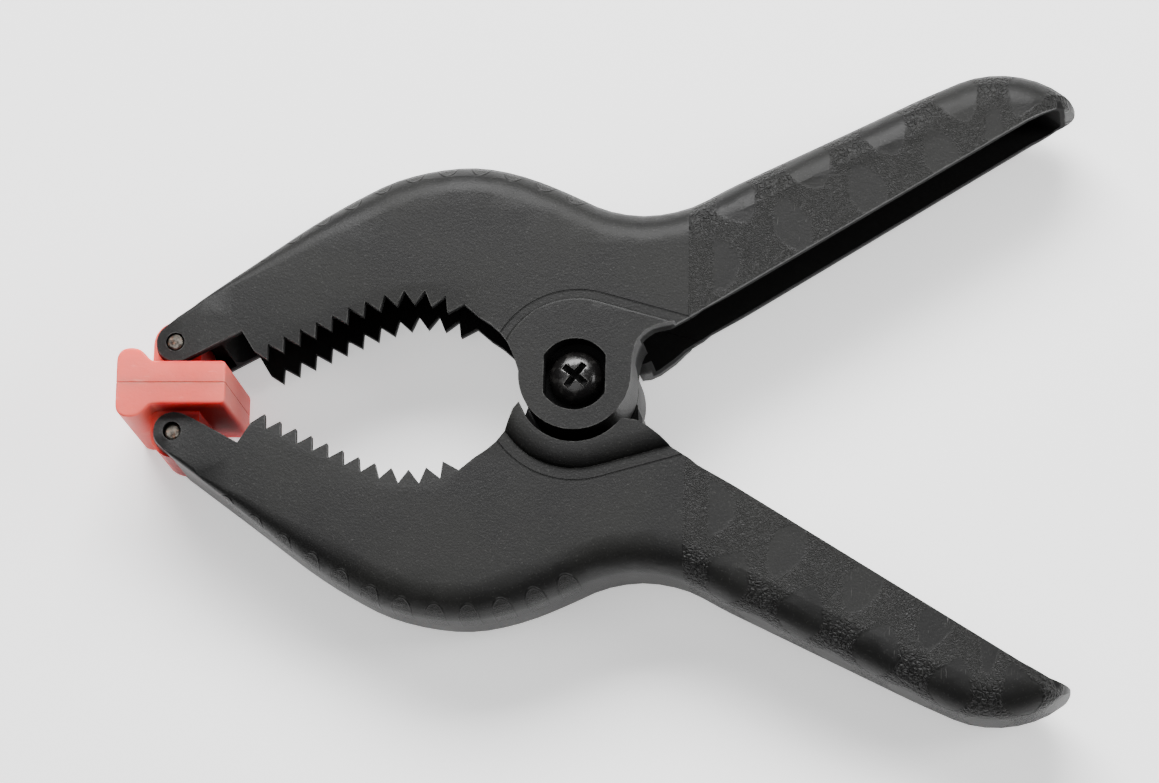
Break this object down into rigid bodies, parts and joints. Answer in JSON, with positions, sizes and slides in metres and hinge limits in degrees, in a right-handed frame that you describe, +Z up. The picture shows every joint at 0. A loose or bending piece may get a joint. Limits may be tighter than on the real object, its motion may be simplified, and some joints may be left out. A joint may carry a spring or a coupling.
{
  "type": "spring clamp",
  "caption": "Hand spring clamp lying on its side: two curved toothed U-channel arms on a recessed pivot screw with torsion spring and swivelling soft jaw pads.",
  "frame": {"origin": "middle of the footprint, on the surface the clamp lies on", "axes": "+X from the jaws towards the handles, +Z up through the pivot, +Y towards the upper arm; the pivot axis is parallel to Z"},
  "size_m": [0.1582, 0.109, 0.026],
  "materials": {
    "nylon": "fine-textured black moulded nylon, pebbled grip bands on the handles",
    "pad": "soft slightly translucent salmon-red pad material",
    "pin_steel": "plain cut steel with light rust",
    "screw_steel": "glossy blackened steel",
    "nut_steel": "zinc-plated steel",
    "lock_ring": "natural nylon",
    "spring_steel": "oiled spring steel"
  },
  "bodies": {
    "lower_body": {"lower_arm": "nylon", "lower_pad_pin": "pin_steel", "pivot_screw": "screw_steel", "pivot_nut": "nut_steel", "pivot_nut_ring": "lock_ring", "torsion_spring": "spring_steel"},
    "upper_body": {"upper_arm": "nylon", "upper_pad_pin": "pin_steel", "torsion_spring_upper_leg": "spring_steel"},
    "upper_pad_body": {"upper_pad": "pad"},
    "lower_pad_body": {"lower_pad": "pad"}
  },
  "joints": [
    {"name": "jaw_hinge", "type": "hinge", "parent": "lower_body", "child": "upper_body", "pos_m": [-0.00245, 0.0014, 0.013], "axis": [0, 0, -1], "range_deg": [0, 45], "stiffness_Nm_per_rad": 2.5, "springref_deg": -57.3},
    {"name": "upper_pad_swivel", "type": "hinge", "parent": "upper_body", "child": "upper_pad_body", "pos_m": [-0.06995, 0.0076, 0.013], "axis": [0, 0, 1], "range_deg": [0, 22.5]},
    {"name": "lower_pad_swivel", "type": "hinge", "parent": "lower_body", "child": "lower_pad_body", "pos_m": [-0.06995, -0.0076, 0.013], "axis": [0, 0, -1], "range_deg": [0, 22.5]}
  ],
  "couplings": [
    {"joint": "upper_pad_swivel", "follows": "jaw_hinge", "ratio": 0.5},
    {"joint": "lower_pad_swivel", "follows": "jaw_hinge", "ratio": 0.5}
  ]
}
